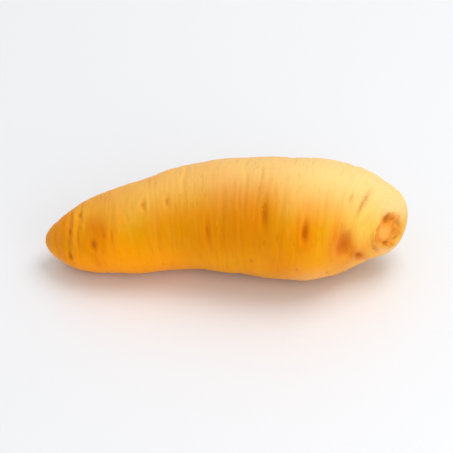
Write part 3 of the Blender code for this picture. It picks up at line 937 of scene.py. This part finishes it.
class Graph:
    """Shorthand for laying out a material's nodes."""

    def __init__(self, name, constants):
        self.material = bpy.data.materials.new(name)
        self.material.use_nodes = True
        self.tree = self.material.node_tree
        self.shader = self.tree.nodes["Principled BSDF"]
        for socket, value in constants.items():
            self.shader.inputs[socket].default_value = value

    def put(self, socket, value):
        if isinstance(value, bpy.types.NodeSocket):
            self.tree.links.new(value, socket)
        else:
            socket.default_value = value

    def node(self, kind, inputs, **settings):
        made = self.tree.nodes.new(kind)
        for key, value in settings.items():
            setattr(made, key, value)
        for key, value in inputs.items():
            self.put(made.inputs[key], value)
        return made

    def carried(self, name, output="Fac"):
        return self.node("ShaderNodeAttribute", {}, attribute_name=name).outputs[output]

    def noise(self, place, grain):
        scale = (1 / grain.along, 1 / grain.around, 1 / grain.around)
        stretched = self.node("ShaderNodeVectorMath", {0: place, 1: scale}, operation="MULTIPLY")
        inputs = {
            "Vector": stretched.outputs[0],
            "Scale": 1.0,
            "Detail": grain.detail,
            "Roughness": grain.roughness,
            "Distortion": grain.distortion,
        }
        return self.node("ShaderNodeTexNoise", inputs).outputs["Fac"]

    def ranged(self, value, span):
        inputs = {
            "Value": value,
            "From Min": span.start,
            "From Max": span.end,
            "To Min": span.first,
            "To Max": span.last,
        }
        return self.node("ShaderNodeMapRange", inputs, interpolation_type="SMOOTHSTEP").outputs[0]

    def joined(self, operation, a, b):
        return self.node("ShaderNodeMath", {0: a, 1: b}, operation=operation, use_clamp=True).outputs[0]

    def mix(self, share, under, over):
        # A mix node's inputs 6 and 7 and its output 2 are the ones for colours
        return self.node("ShaderNodeMix", {0: share, 6: under, 7: over}, data_type="RGBA").outputs[2]

    def coated(self, colour, values, coats):
        for coat in coats:
            colour = self.mix(self.ranged(values[coat.follows], coat.share), colour, coat.colour)
        return colour

    def raised(self, height, distance, strength, under=None):
        inputs = {"Height": height, "Distance": distance, "Strength": strength}
        if under is not None:
            inputs["Normal"] = under
        return self.node("ShaderNodeBump", inputs).outputs[0]


def skin_colour(graph, grains, stain_and_shade):
    """The colour of the skin outside the scar, with its painted light and shade."""
    colour = graph.coated(ORANGE, grains, GROUND_COATS)
    for name, shade in CARRIED_COLOURS.items():
        colour = graph.mix(graph.carried(name), colour, shade)
    blush_and_shade = graph.joined("MULTIPLY", graph.carried("blush_and_shade"), graph.ranged(grains["bands"], BLUSH_AND_SHADE_BROKEN))
    colour = graph.mix(blush_and_shade, colour, BLUSH_AND_SHADE_ORANGE)
    colour = graph.coated(colour, grains, STREAK_COATS)
    colour = graph.mix(graph.joined("MULTIPLY", graph.carried("tip"), TIP_SHARE), colour, TIP_GOLD)
    return graph.coated(colour, {"hollow": graph.carried("hollow"), "stain_and_shade": stain_and_shade}, MARK_COATS)


def scar_colour(graph, fibres):
    """The colour of the scar's torn flesh."""
    colour = graph.mix(graph.ranged(fibres, FLESH_SHARE), SCAR_LIGHT, SCAR_FLESH)
    colour = graph.mix(graph.ranged(graph.carried("heart"), HEART_SHARE), colour, SCAR_LIGHT)
    hole = graph.joined("MULTIPLY", graph.carried("hole"), graph.ranged(fibres, HOLE_BROKEN))
    return graph.mix(graph.ranged(hole, HOLE_SHARE), colour, SCAR_BROWN)


def skin_material():
    graph = Graph("arracacha_skin", SKIN_SHADER)
    straight = graph.carried("straight", "Vector")
    grains = {name: graph.noise(straight, grain) for name, grain in GRAINS.items()}
    speckle = grains["speckle"]
    stain_and_shade = graph.joined("MULTIPLY", graph.carried("stain_and_shade"), graph.ranged(speckle, STAIN_AND_SHADE_BROKEN))
    torn = graph.carried("torn")

    colour = graph.mix(torn, skin_colour(graph, grains, stain_and_shade), scar_colour(graph, grains["fibres"]))
    graph.put(graph.shader.inputs["Base Color"], colour)

    sound = graph.ranged(speckle, SOUND_ROUGHNESS)
    worn = graph.joined("MAXIMUM", stain_and_shade, torn)
    roughness = graph.ranged(worn, Range(0.0, 1.0, sound, WORN_ROUGHNESS))
    graph.put(graph.shader.inputs["Roughness"], roughness)

    specks = graph.raised(speckle, SPECKLE_HEIGHT_MM * MM, GRAIN_STRENGTH)
    lines = graph.raised(grains["streaks"], STREAK_HEIGHT_MM * MM, GRAIN_STRENGTH, specks)
    graph.put(graph.shader.inputs["Normal"], lines)
    return graph.material


# The floor: the length of its side in metres, and its surface
FLOOR_SIDE = 4.0
FLOOR_SHADER = {
    "Base Color": (0.78, 0.79, 0.81, 1.0),
    "Roughness": 0.35,
    "Specular IOR Level": 0.9,
}


def build_floor():
    half = FLOOR_SIDE / 2
    mesh = bpy.data.meshes.new("floor")
    corners = [(-half, -half, 0.0), (half, -half, 0.0), (half, half, 0.0), (-half, half, 0.0)]
    mesh.from_pydata(corners, [], [(0, 1, 2, 3)])
    mesh.materials.append(Graph("pale_floor", FLOOR_SHADER).material)
    floor = bpy.data.objects.new("floor", mesh)
    bpy.context.scene.collection.objects.link(floor)
    return floor


def place_facing(thing, at, target):
    thing.location = at
    thing.rotation_euler = (Vector(at) - Vector(target)).to_track_quat("Z", "Y").to_euler()
    bpy.context.scene.collection.objects.link(thing)


# Soft lights: name, place in metres, side in metres and power in watts. Both are aimed at the same place
Lamp = namedtuple("Lamp", "name at side power")
LAMPS = (
    Lamp("key", (0.32, 0.16, 0.93), 0.70, 5.0),
    Lamp("fill", (0.42, -0.72, 0.28), 0.80, 3.0),
)
LAMP_TARGET = (0.0, 0.0, 0.02)
SKY_COLOUR = (1.0, 1.0, 1.0, 1.0)
SKY_STRENGTH = 0.70


def build_light():
    for lamp in LAMPS:
        light = bpy.data.lights.new(lamp.name, "AREA")
        light.energy = lamp.power
        light.size = lamp.side
        place_facing(bpy.data.objects.new(lamp.name, light), lamp.at, LAMP_TARGET)
    world = bpy.data.worlds.new("studio")
    world.use_nodes = True
    background = world.node_tree.nodes["Background"]
    background.inputs["Color"].default_value = SKY_COLOUR
    background.inputs["Strength"].default_value = SKY_STRENGTH
    bpy.context.scene.world = world
    bpy.context.scene.view_settings.view_transform = "Standard"


# The camera looks along +Y and down, as in the photograph. Its lens is in millimetres, and its distance and
# target are in metres
CAMERA_ELEVATION = 38.0
CAMERA_DISTANCE = 0.85
CAMERA_LENS = 181.0
CAMERA_TARGET = (0.0, 0.0, 0.018)


def build_camera():
    angle = math.radians(CAMERA_ELEVATION)
    back = Vector((0.0, -math.cos(angle), math.sin(angle)))
    camera = bpy.data.objects.new("camera", bpy.data.cameras.new("camera"))
    camera.data.lens = CAMERA_LENS
    place_facing(camera, Vector(CAMERA_TARGET) + back * CAMERA_DISTANCE, CAMERA_TARGET)
    bpy.context.scene.camera = camera


root = build_root()
root.data.materials.append(skin_material())
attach(root, "root")
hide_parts(NODE)
build_floor()
build_light()
build_camera()
